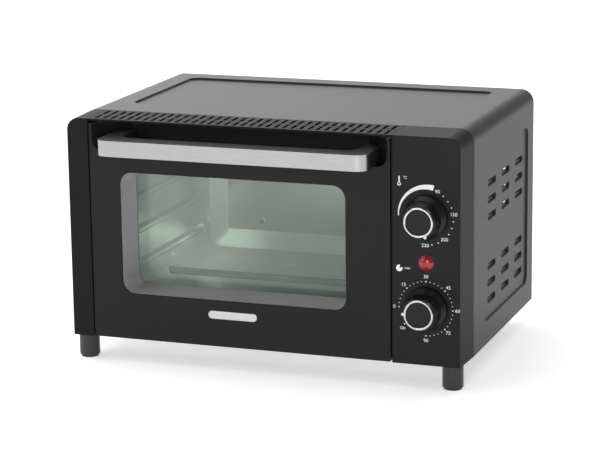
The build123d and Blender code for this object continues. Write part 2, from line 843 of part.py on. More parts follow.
with BuildPart() as rear_standoffs:
    for x in standoff_x:
        rod_along_y(x, standoff_height, standoff_radius, dish_back + liner, back_panel_depth - sheet)
        rod_along_y(
            x, standoff_height, standoff_screw + screw_hole_gap, dish_back, dish_back + 10,
            mode=Mode.SUBTRACT)
save(rear_standoffs, "rear_standoffs")

with BuildPart() as cavity_screws:
    for x in standoff_x:
        rod_along_y(x, standoff_height, 3.2, dish_back - 1.8, dish_back)
    fillet(cavity_screws.faces().group_by(Axis.Y)[0].edges(), 1.0)
    for x in standoff_x:
        rod_along_y(x, standoff_height, standoff_screw, dish_back, dish_back + 9)
save(cavity_screws, "cavity_screws")


# ---------------------------------------------------------------- heating elements
element_overhang = 5.0      # past the bushings' flanges, where the terminals are
terminal_size = (6.0, 0.8, 6.3)
bushing_back = liner + bushing_flange_thickness


def element(height):
    """Straight sheathed element across the cavity."""
    with BuildPart() as rod:
        rod_along_x(
            cavity_left - bushing_back - element_overhang,
            cavity_right + bushing_back + element_overhang,
            element_depth, height, element_radius)
    return rod


save(element(upper_element_height), "upper_element")
save(element(lower_element_height), "lower_element")

with BuildPart() as element_bushings:
    for height in element_heights:
        for inner_x, outwards in ((cavity_left, -1), (cavity_right, 1)):
            face = inner_x + outwards * liner
            rod_along_x(
                *sorted((inner_x - outwards * bushing_reach, face)), element_depth, height,
                bushing_outer)
            rod_along_x(
                *sorted((face, inner_x + outwards * bushing_back)), element_depth, height,
                bushing_flange)
        rod_along_x(
            cavity_left - 20, cavity_right + 20, element_depth, height, element_radius + seat_gap,
            mode=Mode.SUBTRACT)
save(element_bushings, "element_bushings")

with BuildPart() as element_terminals:
    for height in element_heights:
        for inner_x, outwards in ((cavity_left, -1), (cavity_right, 1)):
            end = inner_x + outwards * (bushing_back + element_overhang)
            block_between(
                sorted((end, end + outwards * 3.5)),
                (element_depth - terminal_size[2] / 2, element_depth + terminal_size[2] / 2),
                (height - terminal_size[1] / 2, height + terminal_size[1] / 2))
save(element_terminals, "element_terminals")

# ---------------------------------------------------------------- base, back and inner sheets
base_front = wall_front + 0.2
rear_flange = 13.0
side_play = 0.2
rail_web = 1.2
rail_foot = 10.0
rail_x = (cavity_left + 14, cavity_right - 14)
base_slot = (30.0, 4.0)
back_slot = (24.0, 3.6)


def base_flange_screws():
    """X of the screws through the back panel into the base's rear flange."""
    return [side * 80.0 for side in (-1, 1)]


base_flange_height = sheet + rear_flange / 2 + 1

with BuildPart() as base_plate:
    block_between(
        (sheet + side_play - half_width, half_width - sheet - side_play),
        (base_front, back_panel_depth - sheet), (sheet, 2 * sheet))
    block_between(
        (sheet + rear_lip + 2 - half_width, half_width - sheet - rear_lip - 2),
        (back_panel_depth - 2 * sheet, back_panel_depth - sheet), (sheet, sheet + rear_flange))
    with BuildSketch(level(3 * sheet)):
        with Locations(((cavity_left + cavity_right) / 2, y_at(element_depth))):
            with GridLocations(42, 12, 4, 9):
                SlotOverall(*base_slot)
        with Locations((dial_x, y_at(element_depth))):
            with GridLocations(1, 12, 1, 9):
                SlotOverall(*base_slot)
    extrude(amount=-3 * sheet, mode=Mode.SUBTRACT)
    for x, depth in base_screw_places():
        rod_along_z(x, depth, small_screw + screw_hole_gap, 0, 3, mode=Mode.SUBTRACT)
    for x, depth in rear_feet:
        rod_along_z(x, depth, foot_screw_radius + screw_hole_gap, 0, 3, mode=Mode.SUBTRACT)
    for x in base_flange_screws():
        rod_along_y(
            x, base_flange_height, small_screw + screw_hole_gap, back_panel_depth - 5,
            back_panel_depth, mode=Mode.SUBTRACT)
save(base_plate, "base_plate")

with BuildPart() as back_panel:
    with BuildSketch(facing_front(back_panel_depth)):
        body_outline(spigot)
    extrude(amount=sheet)
    with BuildSketch(facing_front(back_panel_depth + 1)):
        with Locations(((cavity_left + cavity_right) / 2, z_at(body_height / 2 + 20))):
            with GridLocations(9, 34, 20, 3):
                SlotOverall(*back_slot, rotation=90)
        with Locations((dial_x, z_at(body_height / 2 + 20))):
            with GridLocations(9, 34, 4, 3):
                SlotOverall(*back_slot, rotation=90)
    extrude(amount=3 * sheet, mode=Mode.SUBTRACT)
    for x, height in back_screw_places():
        rod_along_y(
            x, height, small_screw + screw_hole_gap, back_panel_depth - 3, back_panel_depth + 1,
            mode=Mode.SUBTRACT)
    for x in base_flange_screws():
        rod_along_y(
            x, base_flange_height, small_screw + screw_hole_gap, back_panel_depth - 3,
            back_panel_depth + 1, mode=Mode.SUBTRACT)
    rod_along_y(
        gland_x, gland_height, gland_bore + 3 + seat_gap, back_panel_depth - 3, back_panel_depth + 1,
        mode=Mode.SUBTRACT)
save(back_panel, "back_panel")

with BuildPart() as back_screws:
    for x, height in back_screw_places():
        rod_along_y(x, height, small_screw, back_panel_depth - 6, body_depth)
        rod_along_y(x, height, small_head + 0.4, body_depth, body_depth + small_head_height)
    for x in base_flange_screws():
        rod_along_y(x, base_flange_height, small_screw, back_panel_depth - 6, back_panel_depth)
        rod_along_y(
            x, base_flange_height, small_head + 0.4, back_panel_depth,
            back_panel_depth + small_head_height)
    fillet(back_screws.faces().filter_by(Axis.Y).group_by(Axis.Y)[-1].edges(), 0.7)
save(back_screws, "back_screws")

with BuildPart() as base_screws:
    for x, depth in base_screw_places():
        rod_along_z(x, depth, small_head, -small_head_height, 0)
        rod_along_z(x, depth, small_screw, 0, 5)
save(base_screws, "base_screws")

with BuildPart() as cavity_rails:
    for x, inwards in zip(rail_x, (1, -1)):
        top = cavity_floor_height - liner
        block_between(
            sorted((x, x + inwards * rail_foot)), (60.0, 215.0), (top - rail_web, top))
        block_between(
            sorted((x, x - inwards * rail_foot)), (60.0, 215.0), (2 * sheet, 2 * sheet + rail_web))
        block_between(
            (x - rail_web / 2, x + rail_web / 2), (60.0, 215.0), (2 * sheet, top))
save(cavity_rails, "cavity_rails")

with BuildPart() as heat_shield:
    block_between(
        (shield_x, shield_x + liner), (base_front, back_panel_depth - 2 * sheet - side_play),
        (2 * sheet, body_height - sheet - 2 * recess_step))
    block_between(
        (shield_x, shield_x + 12), (base_front, back_panel_depth - 2 * sheet - side_play),
        (2 * sheet, 2 * sheet + liner))
save(heat_shield, "heat_shield")

# ---------------------------------------------------------------- inlet and wiring hardware
gland_flange = gland_bore + 5.5
block_top = 18.0
block_x = (136.0, 172.0)
block_depth = (196.0, 212.0)

with BuildPart() as cord_gland:
    rod_along_y(gland_x, gland_height, gland_bore + 3, back_panel_depth - 10, body_depth + gland_reach)
    rod_along_y(gland_x, gland_height, gland_flange, back_panel_depth, back_panel_depth + 2)
    rod_along_y(
        gland_x, gland_height, gland_flange - 1, back_panel_depth - sheet - 2, back_panel_depth - sheet)
    fillet(cord_gland.faces().sort_by(Axis.Y)[-1].edges(), 1.0)
    rod_along_y(
        gland_x, gland_height, gland_bore, back_panel_depth - 12, body_depth + gland_reach + 1,
        mode=Mode.SUBTRACT)
save(cord_gland, "cord_gland")

with BuildPart() as terminal_block:
    block_between(block_x, block_depth, (2 * sheet, block_top))
    fillet(terminal_block.edges().group_by(Axis.Z)[-1], 1.5)
    for step in (-1, 0, 1):
        x = sum(block_x) / 2 + step * 11
        rod_along_y(x, 9.0, 3.0, block_depth[0] - 1, block_depth[1] + 1, mode=Mode.SUBTRACT)
        rod_along_z(x, sum(block_depth) / 2, 2.2, 9.0, block_top + 1, mode=Mode.SUBTRACT)
save(terminal_block, "terminal_block")

with BuildPart() as terminal_screws:
    for step in (-1, 0, 1):
        x = sum(block_x) / 2 + step * 11
        rod_along_z(x, sum(block_depth) / 2, 2.1, 9.0, block_top - 3)
save(terminal_screws, "terminal_screws")

fuse_depth = (150.0, 166.0)
fuse_height = 120.0
fuse_radius = 2.6
fuse_x = shield_x + liner + 1.0 + fuse_radius

with BuildPart() as thermal_fuse:
    rod_along_y(fuse_x, fuse_height, fuse_radius, *fuse_depth)
    rod_along_y(fuse_x, fuse_height, 0.6, fuse_depth[0] - 12, fuse_depth[1] + 12)
save(thermal_fuse, "thermal_fuse")

with BuildPart() as fuse_clip:
    middle = sum(fuse_depth) / 2
    block_between(
        (shield_x + liner, shield_x + liner + 1.0), (middle - 4, middle + 4),
        (fuse_height - 8, fuse_height + 8))
    rod_along_y(fuse_x, fuse_height, fuse_radius + 1.0, middle - 4, middle + 4)
    rod_along_y(fuse_x, fuse_height, fuse_radius + seat_gap, middle - 5, middle + 5, mode=Mode.SUBTRACT)
save(fuse_clip, "fuse_clip")

# ---------------------------------------------------------------- feet
foot_recess = 4.2
foot_recess_top = 8.0       # the screw's head sits this far above the foot's underside
pad_outer = foot_radius - 1.4


def foot_place(place):
    """Height of the face that a foot stands against: the frame in front, the base behind."""
    return 0.0 if place in front_feet else sheet


with BuildPart() as feet:
    for place in front_feet + rear_feet:
        x, depth = place
        top = foot_place(place)
        rod_along_z(x, depth, foot_radius, pad_thickness - foot_height, top)
    chamfer(feet.faces().group_by(Axis.Z)[0].edges(), 0.6)
    for place in front_feet + rear_feet:
        x, depth = place
        rod_along_z(
            x, depth, foot_recess, -foot_height, foot_recess_top - foot_height, mode=Mode.SUBTRACT)
        rod_along_z(
            x, depth, foot_screw_radius + screw_hole_gap, -foot_height, foot_place(place) + 1,
            mode=Mode.SUBTRACT)
save(feet, "feet")

with BuildPart() as foot_pads:
    for x, depth in front_feet + rear_feet:
        rod_along_z(x, depth, pad_outer, -foot_height, pad_thickness - foot_height)
        rod_along_z(x, depth, foot_recess, -foot_height - 1, 0, mode=Mode.SUBTRACT)
save(foot_pads, "foot_pads")

with BuildPart() as foot_screws:
    for place in front_feet + rear_feet:
        x, depth = place
        seat = foot_recess_top - foot_height
        rod_along_z(x, depth, foot_recess - 0.8, seat - 2.2, seat)
        rod_along_z(x, depth, foot_screw_radius, seat, foot_place(place) + foot_boss - 1.5)
save(foot_screws, "foot_screws")

# ---------------------------------------------------------------- door
toe_height = 8.0            # sloping strip along the door's lower edge
toe_depth = 3.0
door_boss = 4.0
door_screw = 1.5
pocket_left = door_left + pocket_margin
pocket_right = door_right - pocket_margin
plate_front = door_depth - back_plate


def window_sketch(inset, mode=Mode.ADD):
    """Rounded outline of the window, taken in by an inset."""
    rectangle_between(
        window_left + inset, window_right - inset, z_at(window_bottom + inset),
        z_at(window_top - inset), max(window_radius - inset, 1), mode=mode)


def door_boss_places():
    """X and height of the screws that hold the door's rear plate."""
    left = door_left + door_wall + door_boss + 2
    right = door_right - door_wall - door_boss - 2
    return [(x, height) for x in (left, right) for height in (26.0, 92.0, 158.0)]


def handle_arms_x():
    """X of the middle of each of the handle's arms."""
    return [handle_middle + side * (handle_half_width - handle_arm / 2) for side in (-1, 1)]


with BuildPart() as pocket:
    with BuildSketch(level(pocket_bottom)):
        with BuildLine():
            Polyline(
                (pocket_left, y_at(0)), (pocket_left + pocket_slant, y_at(pocket_depth)),
                (pocket_right - pocket_slant, y_at(pocket_depth)), (pocket_right, y_at(0)),
                (pocket_right, y_at(-1)), (pocket_left, y_at(-1)), close=True)
        make_face()
    extrude(amount=door_top - pocket_bottom + 20)
    with BuildSketch(facing_front(pocket_depth)):
        with BuildSketch(mode=Mode.PRIVATE) as pocket_shape:
            rectangle_between(pocket_left, pocket_right, z_at(pocket_bottom), z_at(door_top + 20))
            fillet(pocket_shape.vertices().group_by(Axis.Y)[0], pocket_radius)
        add(pocket_shape.sketch)
    extrude(amount=pocket_depth + 1, mode=Mode.INTERSECT)

with BuildPart() as door_shell:
    block_between((door_left, door_right), (0, plate_front), (door_bottom, door_top))
    fillet(door_shell.edges().filter_by(Axis.Y).group_by(Axis.Z)[0], 3)
    with BuildSketch(Plane.YZ.offset(door_left - 1)):
        with BuildLine():
            Polyline(
                (y_at(0), z_at(door_bottom + toe_height)), (y_at(toe_depth), z_at(door_bottom)),
                (y_at(toe_depth), z_at(door_bottom - 1)), (y_at(-1), z_at(door_bottom - 1)),
                (y_at(-1), z_at(door_bottom + toe_height)), close=True)
        make_face()
    extrude(amount=door_right - door_left + 2, mode=Mode.SUBTRACT)
    fillet(door_shell.faces().filter_by(Axis.Y).sort_by(Axis.Y)[0].edges(), 0.6)
    block_between(
        (door_left + door_wall, door_right - door_wall), (door_wall, plate_front),
        (door_bottom + door_wall, door_top - door_wall), mode=Mode.SUBTRACT)
    # Toe: the wall follows the sloping strip inside
    with BuildSketch(Plane.YZ.offset(door_left + door_wall)):
        with BuildLine():
            Polyline(
                (y_at(door_wall), z_at(door_bottom + door_wall)),
                (y_at(door_wall + toe_depth), z_at(door_bottom + door_wall)),
                (y_at(door_wall), z_at(door_bottom + door_wall + toe_height)), close=True)
        make_face()
    extrude(amount=door_right - door_left - 2 * door_wall)
    # Pocket behind the handle, open upwards
    block_between(
        (door_left + 1, door_right - 1), (1, pocket_depth + pocket_wall),
        (pocket_bottom - 2, door_top))
    add(pocket.part, mode=Mode.SUBTRACT)
    for x in handle_arms_x():
        block_between(
            (x - handle_arm / 2 - fit_gap, x + handle_arm / 2 + fit_gap), (0, pocket_depth),
            (pocket_bottom, handle_bottom + handle_height + fit_gap), mode=Mode.SUBTRACT)
    with BuildSketch(facing_front(door_wall + 0.5)):
        window_sketch(0)
    extrude(amount=door_wall + 2, mode=Mode.SUBTRACT)
    # Bosses and holes
    for x, height in door_boss_places():
        rod_along_y(x, height, door_boss, door_wall - 0.5, plate_front)
        rod_along_y(
            x, height, door_screw + screw_hole_gap, door_wall + 4, plate_front + 1,
            mode=Mode.SUBTRACT)
    for x in handle_arms_x():
        rod_along_y(
            x, handle_bottom + handle_height / 2, 2.2, pocket_depth - 1, pocket_depth + pocket_wall + 1,
            mode=Mode.SUBTRACT)
    for edge, inwards in ((door_left, 1), (door_right, -1)):
        boss_end = edge + inwards * (door_wall + 6)
        rod_along_x(*sorted((edge + inwards, boss_end)), hinge_depth, hinge_height, pin_radius + 3)
        rod_along_x(
            *sorted((edge - inwards, boss_end + inwards)), hinge_depth, hinge_height,
            pin_radius + 0.02, mode=Mode.SUBTRACT)
save(door_shell, "door_shell")

with BuildPart() as door_reveal:
    with BuildSketch(facing_front(reveal_front)):
        window_sketch(-reveal_wall)
    extrude(amount=-(reveal_back - reveal_front), taper=reveal_draft)
    with BuildSketch(facing_front(reveal_back)):
        window_sketch(reveal_inset - glass_margin)
    extrude(amount=reveal_wall)
    with BuildSketch(facing_front(reveal_front)):
        window_sketch(0)
    extrude(amount=-(reveal_back - reveal_front), taper=reveal_draft, mode=Mode.SUBTRACT)
save(door_reveal, "door_reveal")

with BuildPart() as glass_seal:
    with BuildSketch(facing_front(reveal_back + seal_thickness)):
        window_sketch(reveal_inset - glass_margin + 0.5)
        window_sketch(reveal_inset - 0.5, mode=Mode.SUBTRACT)
    extrude(amount=seal_thickness)
save(glass_seal, "glass_seal")

with BuildPart() as door_glass:
    with BuildSketch(facing_front(plate_front)):
        window_sketch(reveal_inset - glass_margin + 0.5)
    extrude(amount=glass_thickness)
save(door_glass, "door_glass")

with BuildPart() as door_back_plate:
    block_between(
        (door_left + 0.6, door_right - 0.6), (plate_front, door_depth),
        (door_bottom + 0.6, door_top - 0.6))
    fillet(door_back_plate.edges().filter_by(Axis.Y).group_by(Axis.Z)[0], 3)
    with BuildSketch(facing_front(door_depth)):
        window_sketch(reveal_inset - 1.0)
    extrude(amount=2 * back_plate, mode=Mode.SUBTRACT)
    for x, height in door_boss_places():
        rod_along_y(
            x, height, door_screw + screw_hole_gap, plate_front - 1, door_depth + 1, mode=Mode.SUBTRACT)
save(door_back_plate, "door_back_plate")

with BuildPart() as door_screws:
    for x, height in door_boss_places():
        rod_along_y(x, height, door_screw, door_depth - 14, door_depth)
        rod_along_y(x, height, 2.8, door_depth, door_depth + 1.3)
    fillet(door_screws.faces().group_by(Axis.Y)[-1].edges(), 0.6)
save(door_screws, "door_screws")

# ---------------------------------------------------------------- handle
trim_end = handle_outer_radius + trim_wrap - handle_reach     # depth where the trim stops


def handle_plan(inset, mode=Mode.ADD):
    """Outer outline of the handle from above, with rounded front corners."""
    with BuildSketch(mode=Mode.PRIVATE) as plan:
        half = handle_half_width - inset
        rectangle_between(
            handle_middle - half, handle_middle + half, y_at(inset - handle_reach),
            y_at(pocket_depth))
        fillet(plan.vertices().group_by(Axis.Y)[0], handle_outer_radius - inset)
    add(plan.sketch, mode=mode)


def trim_plan():
    """Outline of the bright strip round the handle's front."""
    handle_plan(0)
    handle_plan(trim_thickness, mode=Mode.SUBTRACT)
    rectangle_between(
        -half_width, half_width, y_at(-2 * handle_reach), y_at(trim_end), mode=Mode.INTERSECT)


with BuildPart() as handle:
    with BuildSketch(level(handle_bottom)):
        handle_plan(0)
        with BuildSketch(mode=Mode.PRIVATE) as gap_plan:
            inner = handle_half_width - handle_arm
            rectangle_between(
                handle_middle - inner, handle_middle + inner, y_at(handle_thickness - handle_reach),
                y_at(pocket_depth + 1))
            fillet(gap_plan.vertices().group_by(Axis.Y)[0], handle_inner_radius)
        add(gap_plan.sketch, mode=Mode.SUBTRACT)
    extrude(amount=handle_height)
    fillet(handle.faces().group_by(Axis.Z)[-1].edges(), 1.2)
    fillet(handle.faces().group_by(Axis.Z)[0].edges(), 1.2)
    with BuildSketch(level(handle_bottom - 1)):
        trim_plan()
    extrude(amount=handle_height + 2, mode=Mode.SUBTRACT)
    for x in handle_arms_x():
        rod_along_y(
            x, handle_bottom + handle_height / 2, 2.05, pocket_depth - 18, pocket_depth + 1,
            mode=Mode.SUBTRACT)
save(handle, "handle")

with BuildPart() as handle_trim:
    with BuildSketch(level(handle_bottom + 0.3)):
        trim_plan()
    extrude(amount=handle_height - 0.6)
save(handle_trim, "handle_trim")

with BuildPart() as handle_screws:
    for x in handle_arms_x():
        height = handle_bottom + handle_height / 2
        rod_along_y(x, height, 2.0, pocket_depth - 17, pocket_depth + pocket_wall)
        rod_along_y(x, height, 4.0, pocket_depth + pocket_wall, plate_front)
save(handle_screws, "handle_screws")

# ---------------------------------------------------------------- hinges
pin_head = 1.5
bracket_thickness = 1.5
bracket_half_length = 8.5
bracket_half_height = 5.5

with BuildPart() as hinge_pins:
    for edge, inwards in ((door_left, 1), (door_right, -1)):
        boss_end = edge + inwards * (door_wall + 6)
        outer_end = edge - inwards * (door_gap + frame_wall + bracket_thickness + 2)
        rod_along_x(*sorted((outer_end, boss_end)), hinge_depth, hinge_height, pin_radius)
        rod_along_x(
            *sorted((boss_end, boss_end + inwards * pin_head)), hinge_depth, hinge_height,
            pin_radius + 2)
save(hinge_pins, "hinge_pins")

with BuildPart() as hinge_brackets:
    for edge, side in hinge_sides:
        face = edge + side * frame_wall
        block_between(
            sorted((face, face + side * bracket_thickness)),
            (hinge_depth - bracket_half_length, hinge_depth + bracket_half_length),
            (hinge_height - bracket_half_height, hinge_height + bracket_half_height))
        span = sorted((face - side, face + side * (bracket_thickness + 1)))
        rod_along_x(*span, hinge_depth, hinge_height, pin_radius + running, mode=Mode.SUBTRACT)
        for step in (-1, 1):
            rod_along_x(
                *span, hinge_depth + step * hinge_screw_offset, hinge_height,
                small_screw + screw_hole_gap, mode=Mode.SUBTRACT)
save(hinge_brackets, "hinge_brackets")

with BuildPart() as hinge_screws:
    for edge, side in hinge_sides:
        face = edge + side * (frame_wall + bracket_thickness)
        for step in (-1, 1):
            depth = hinge_depth + step * hinge_screw_offset
            rod_along_x(*sorted((edge + side * 0.7, face)), depth, hinge_height, small_screw)
            rod_along_x(
                *sorted((face, face + side * small_head_height)), depth, hinge_height, small_head)
save(hinge_screws, "hinge_screws")
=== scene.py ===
"""Finishes, printing and stage of a small toaster oven, laid out as an add-on."""
import json
import math

import bmesh
import bpy
from mathutils import Matrix, Vector


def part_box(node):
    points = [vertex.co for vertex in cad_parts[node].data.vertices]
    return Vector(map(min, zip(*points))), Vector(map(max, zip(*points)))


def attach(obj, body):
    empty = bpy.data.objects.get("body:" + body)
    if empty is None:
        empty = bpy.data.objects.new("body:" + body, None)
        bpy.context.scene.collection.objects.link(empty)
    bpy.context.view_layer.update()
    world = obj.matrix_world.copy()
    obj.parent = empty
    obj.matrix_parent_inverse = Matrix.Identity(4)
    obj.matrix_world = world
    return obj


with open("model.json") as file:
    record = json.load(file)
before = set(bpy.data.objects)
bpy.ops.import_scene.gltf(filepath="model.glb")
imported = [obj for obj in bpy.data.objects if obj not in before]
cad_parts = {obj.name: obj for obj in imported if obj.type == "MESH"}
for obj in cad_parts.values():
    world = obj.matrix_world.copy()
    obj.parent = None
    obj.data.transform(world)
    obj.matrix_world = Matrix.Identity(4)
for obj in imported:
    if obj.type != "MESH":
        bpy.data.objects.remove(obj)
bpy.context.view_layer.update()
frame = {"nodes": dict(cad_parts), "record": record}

bl_info = {
    "name": "Toaster Oven",
    "version": (1, 0, 0),
    "blender": (4, 5, 0),
    "location": "View3D > Sidebar > Oven",
    "description": "Finishes, dial printing and a plain studio for a small toaster oven",
    "category": "Object",
}

MM = 0.001
NODES = frame["nodes"]
SLOT_OF = {part["node"]: part["material_slot"] for part in frame["record"]["subparts"]}
BODY_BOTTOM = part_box("housing")[0].z
PANEL_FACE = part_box("control_panel")[0].y
DOOR_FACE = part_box("door_shell")[0].y

MERGE_GAP = 0.002 * MM
RELIEF_STRENGTH = 0.6

# Dial printing: places in mm from a knob's axis, angles in degrees clockwise from the top
ARC_SPAN = (270, 375)
DEGREES_AT = {0: "90", 4: "150", 8: "200", 11: "230"}
DEGREE_MARKS = 12
FIRST_DEGREE_ANGLE = 24.3
DEGREE_STEP = 14.28
SYMBOL_X = -23.6
MINUTE_MARKS = 31
MINUTES_PER_MARK = 3
MARKS_PER_LABEL = 5
FIRST_MINUTE_ANGLE = 270
MINUTE_STEP = 9
ON_DOT_ANGLE = 232
ON_WORD_ANGLE = 228

BADGE_MIDDLE_HEIGHT = 30.5
BADGE_THICKNESS = 0.7
BADGE_RIM = 0.35

FLOOR_HALF_WIDTH = 6.0
FLOOR_GLOW = 0.45
SKYLIGHT_TURN = (-12, -14, 0)
SKYLIGHT_SPREAD = 70
SKYLIGHT_POWER = 1.0
# Name, place, what it shines on, size and power
SOFTBOXES = (
    ("left_front", (-1.5, -1.5, 1.1), (0.0, -0.1, 0.1), 1.0, 6),
    ("window_fill", (0.45, -1.5, 0.55), (-0.05, 0.1, 0.12), 0.35, 7),
)
CAMERA_PLACE = (0.6970, -1.9277, 0.5889)
CAMERA_TURN, CAMERA_TILT, CAMERA_ROLL = 19.955, 13.127, -0.748
CAMERA_LENS = 137.6


# ---------------------------------------------------------------- settings
class OvenSizes(bpy.types.PropertyGroup):
    """Sizes of what is added to the frame."""

    print_thickness: bpy.props.FloatProperty(
        name="Print thickness", description="How far the dial printing stands out of the panel",
        default=0.05 * MM, unit="LENGTH", precision=5)
    dot_ring: bpy.props.FloatProperty(
        name="Dot ring", description="Radius of the ring of dots round a dial",
        default=24.2 * MM, unit="LENGTH", precision=4)
    label_ring: bpy.props.FloatProperty(
        name="Label ring", description="Radius at which the minutes stand round the timer",
        default=28.2 * MM, unit="LENGTH", precision=4)
    label_size: bpy.props.FloatProperty(
        name="Label size", description="Size of the dial numbers",
        default=4.4 * MM, unit="LENGTH", precision=4)
    badge_width: bpy.props.FloatProperty(
        name="Badge width", description="Width of the plain bright badge under the window",
        default=46 * MM, unit="LENGTH", precision=4)
    badge_height: bpy.props.FloatProperty(
        name="Badge height", description="Height of the badge under the window",
        default=7.4 * MM, unit="LENGTH", precision=4)


class OvenColours(bpy.types.PropertyGroup):
    """Colours of the finishes that a user would change."""

    housing: bpy.props.FloatVectorProperty(
        name="Housing", description="Paint of the housing", subtype="COLOR",
        default=(0.022, 0.022, 0.023), min=0, max=1)
    plastic: bpy.props.FloatVectorProperty(
        name="Frame", description="Moulded front frame and grille", subtype="COLOR",
        default=(0.015, 0.015, 0.0156), min=0, max=1)
    door: bpy.props.FloatVectorProperty(
        name="Door", description="Paint of the door", subtype="COLOR",
        default=(0.0075, 0.0075, 0.0078), min=0, max=1)
    reveal: bpy.props.FloatVectorProperty(
        name="Reveal", description="Painted frame round the glass", subtype="COLOR",
        default=(0.33, 0.315, 0.33), min=0, max=1)
    glass: bpy.props.FloatVectorProperty(
        name="Glass", description="Tint of the door glass", subtype="COLOR",
        default=(0.90, 0.965, 0.925), min=0, max=1)
    lamp: bpy.props.FloatVectorProperty(
        name="Lamp", description="Lens of the pilot lamp", subtype="COLOR",
        default=(0.42, 0.010, 0.010), min=0, max=1)


# ---------------------------------------------------------------- node helpers
def add_node(tree, kind, settings=None, inputs=None):
    """Add a node; an input is linked where it is given a socket, and set otherwise."""
    made = tree.nodes.new(kind)
    for key, value in (settings or {}).items():
        setattr(made, key, value)
    for key, value in (inputs or {}).items():
        if isinstance(value, bpy.types.NodeSocket):
            tree.links.new(value, made.inputs[key])
        else:
            made.inputs[key].default_value = value
    return made


def ramp(tree, factor, low, high, start=0.3, end=0.7):
    """Blend of two colours over part of a pattern's range."""
    made = add_node(tree, "ShaderNodeValToRGB", inputs={"Fac": factor})
    stops = made.color_ramp.elements
    stops[0].position, stops[0].color = start, (*low, 1)
    stops[1].position, stops[1].color = end, (*high, 1)
    return made.outputs["Color"]


def object_place(tree):
    """Place on a piece, in its own coordinates."""
    return add_node(tree, "ShaderNodeTexCoord").outputs["Object"]


def noise(tree, scale, stretch=(1, 1, 1), detail=3.0):
    """Noise in object coordinates, stretched along the axes."""
    mapped = add_node(
        tree, "ShaderNodeMapping", inputs={"Vector": object_place(tree), "Scale": stretch})
    made = add_node(tree, "ShaderNodeTexNoise", inputs={
        "Vector": mapped.outputs["Vector"], "Scale": scale, "Detail": detail})
    return made.outputs["Fac"]


def empty_material(name):
    """Material with only its principled shader."""
    material = bpy.data.materials.new(name)
    material.use_nodes = True
    return material, material.node_tree, material.node_tree.nodes["Principled BSDF"]


def tinted(colour, amount):
    """Colour made lighter or darker by a share."""
    return tuple(min(1.0, part * (1 + amount)) for part in colour)


def finish(name, colour, roughness, metallic=0.0, mottle=0.12, mottle_scale=18.0,
           grain_scale=900.0, grain_depth=0.03, spread=0.06, stretch=(1, 1, 1),
           coat=0.0, coat_roughness=0.1, specular=0.5):
    """Finish with cloudy colour, uneven gloss and, unless its depth is 0, a fine relief."""
    material, tree, shader = empty_material(name)
    clouds = noise(tree, scale=mottle_scale, stretch=stretch, detail=5)
    grain = noise(tree, scale=grain_scale, stretch=stretch)
    colour_out = ramp(tree, clouds, tinted(colour, -mottle), tinted(colour, mottle))
    gloss = add_node(tree, "ShaderNodeMapRange", inputs={
        "Value": grain, "From Min": 0.3, "From Max": 0.7,
        "To Min": max(0.03, roughness - spread), "To Max": min(1.0, roughness + spread)})
    tree.links.new(colour_out, shader.inputs["Base Color"])
    tree.links.new(gloss.outputs["Result"], shader.inputs["Roughness"])
    if grain_depth:
        relief = add_node(tree, "ShaderNodeBump", inputs={
            "Height": grain, "Strength": RELIEF_STRENGTH, "Distance": grain_depth * MM})
        tree.links.new(relief.outputs["Normal"], shader.inputs["Normal"])
    shader.inputs["Metallic"].default_value = metallic
    shader.inputs["Specular IOR Level"].default_value = specular
    shader.inputs["Coat Weight"].default_value = coat
    shader.inputs["Coat Roughness"].default_value = coat_roughness
    return material


def spangled(name, light, dark, roughness, size=90.0):
    """Zinc-coated steel with its crystals."""
    material, tree, shader = empty_material(name)
    cells = add_node(tree, "ShaderNodeTexVoronoi", inputs={
        "Vector": object_place(tree), "Scale": size})
    tone = add_node(tree, "ShaderNodeSeparateColor", inputs={"Color": cells.outputs["Color"]})
    colour_out = ramp(tree, tone.outputs["Red"], dark, light, 0.0, 1.0)
    tree.links.new(colour_out, shader.inputs["Base Color"])
    gloss = add_node(tree, "ShaderNodeMapRange", inputs={
        "Value": tone.outputs["Green"], "To Min": roughness - 0.1, "To Max": roughness + 0.12})
    tree.links.new(gloss.outputs["Result"], shader.inputs["Roughness"])
    shader.inputs["Metallic"].default_value = 0.9
    return material


def speckled(name, colour, specks, roughness, scale=700.0):
    """Fired ceramic with dark specks."""
    material, tree, shader = empty_material(name)
    dots = noise(tree, scale=scale, detail=1)
    tree.links.new(ramp(tree, dots, specks, colour, 0.28, 0.36), shader.inputs["Base Color"])
    relief = add_node(tree, "ShaderNodeBump", inputs={
        "Height": noise(tree, scale=400.0), "Strength": 0.5, "Distance": 0.05 * MM})
    tree.links.new(relief.outputs["Normal"], shader.inputs["Normal"])
    shader.inputs["Roughness"].default_value = roughness
    return material


